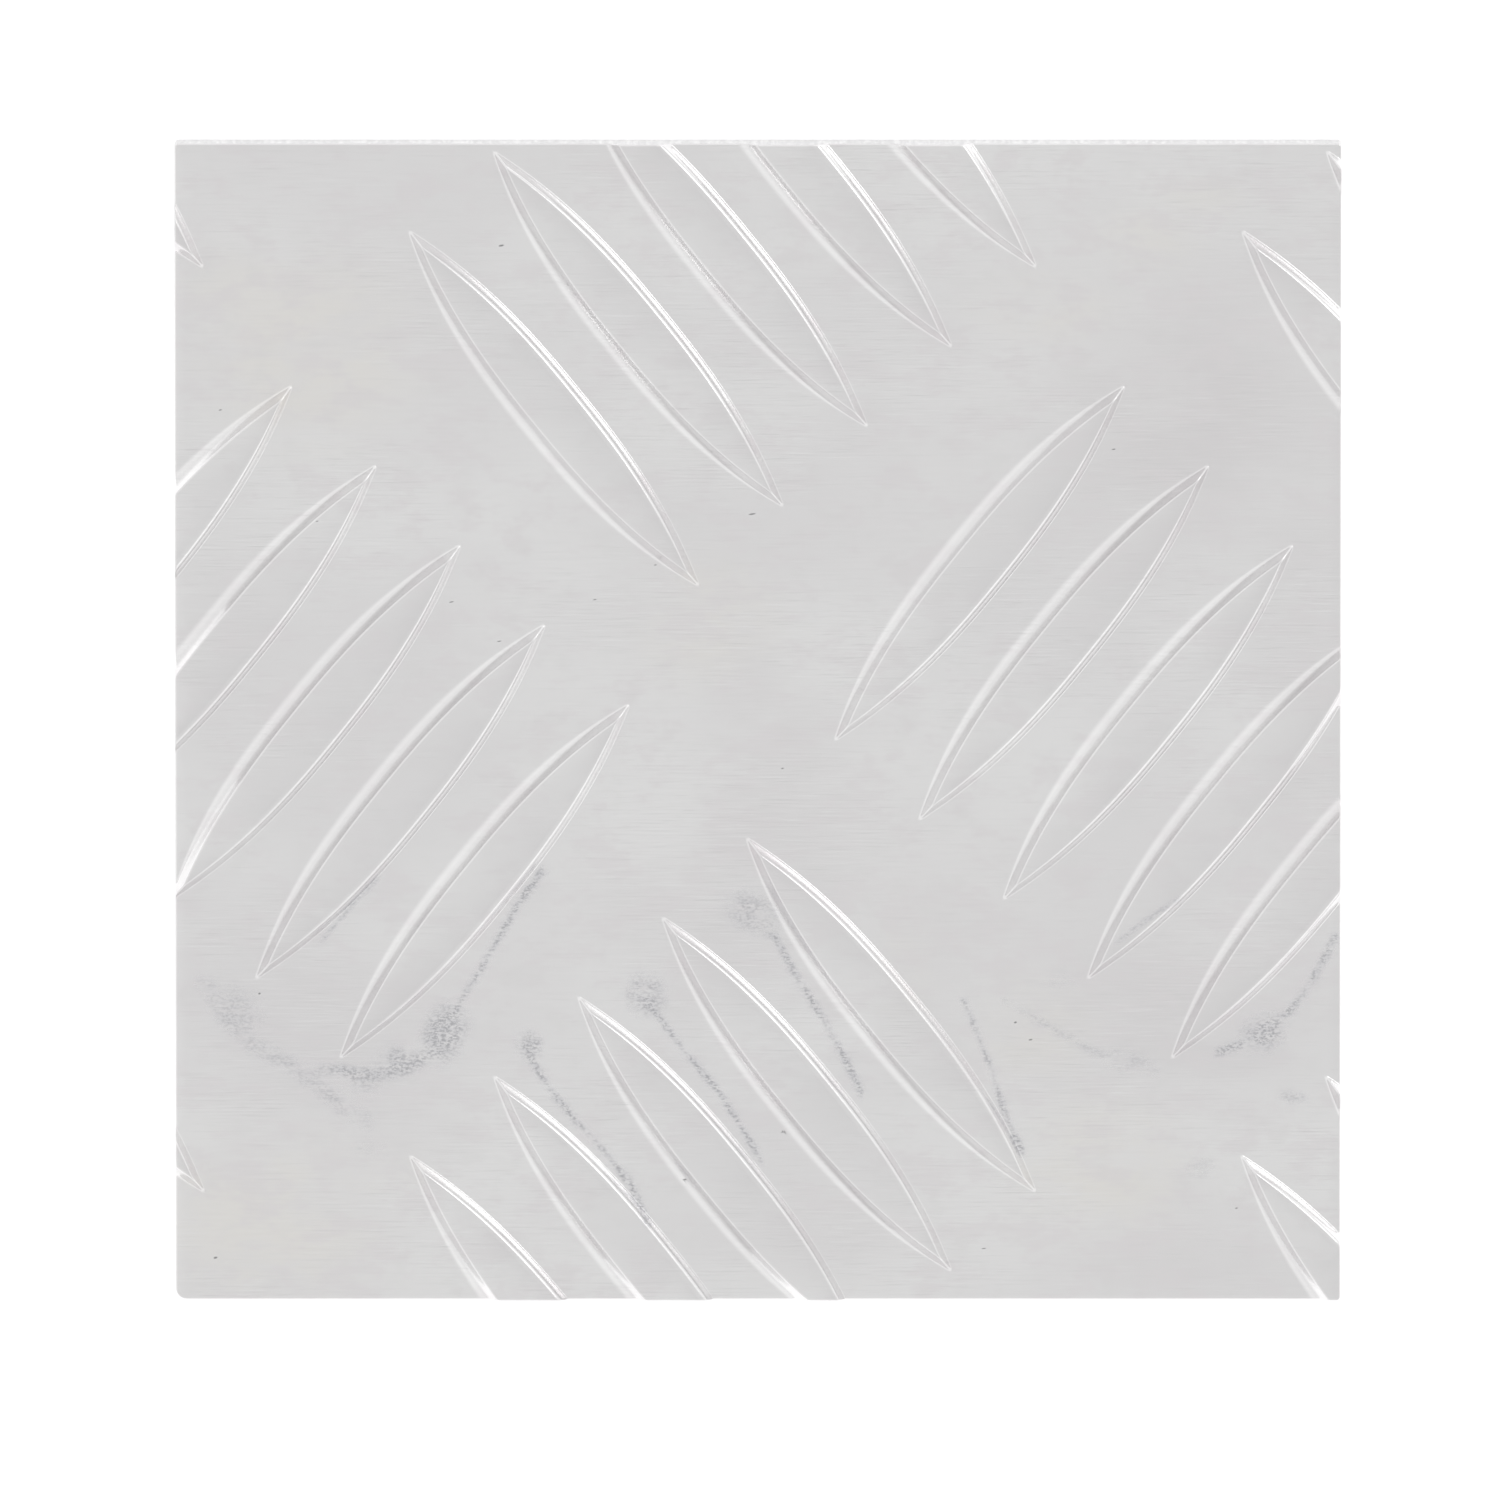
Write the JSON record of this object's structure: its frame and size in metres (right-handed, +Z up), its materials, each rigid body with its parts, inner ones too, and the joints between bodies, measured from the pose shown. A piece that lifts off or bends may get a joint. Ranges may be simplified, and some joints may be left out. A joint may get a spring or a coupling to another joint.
{
  "type": "aluminum checker plate",
  "caption": "Flat square of checker plate, smooth beneath, with raised pointed bars in crossing groups on top that give grip on floors, steps and ramps.",
  "frame": {"origin": "centre of the smooth underside", "axes": "+Z up out of the raised bars, +X and +Y along the cut edges; seen from above with +Y up the page, the group of bars nearest the middle of the +Y edge leans to the left"},
  "size_m": [0.1, 0.1, 0.004],
  "materials": {
    "rolled_aluminium": "bright mill finish with fine rolling lines"
  },
  "bodies": {
    "root": {"checker_plate": "rolled_aluminium"}
  },
  "joints": []
}
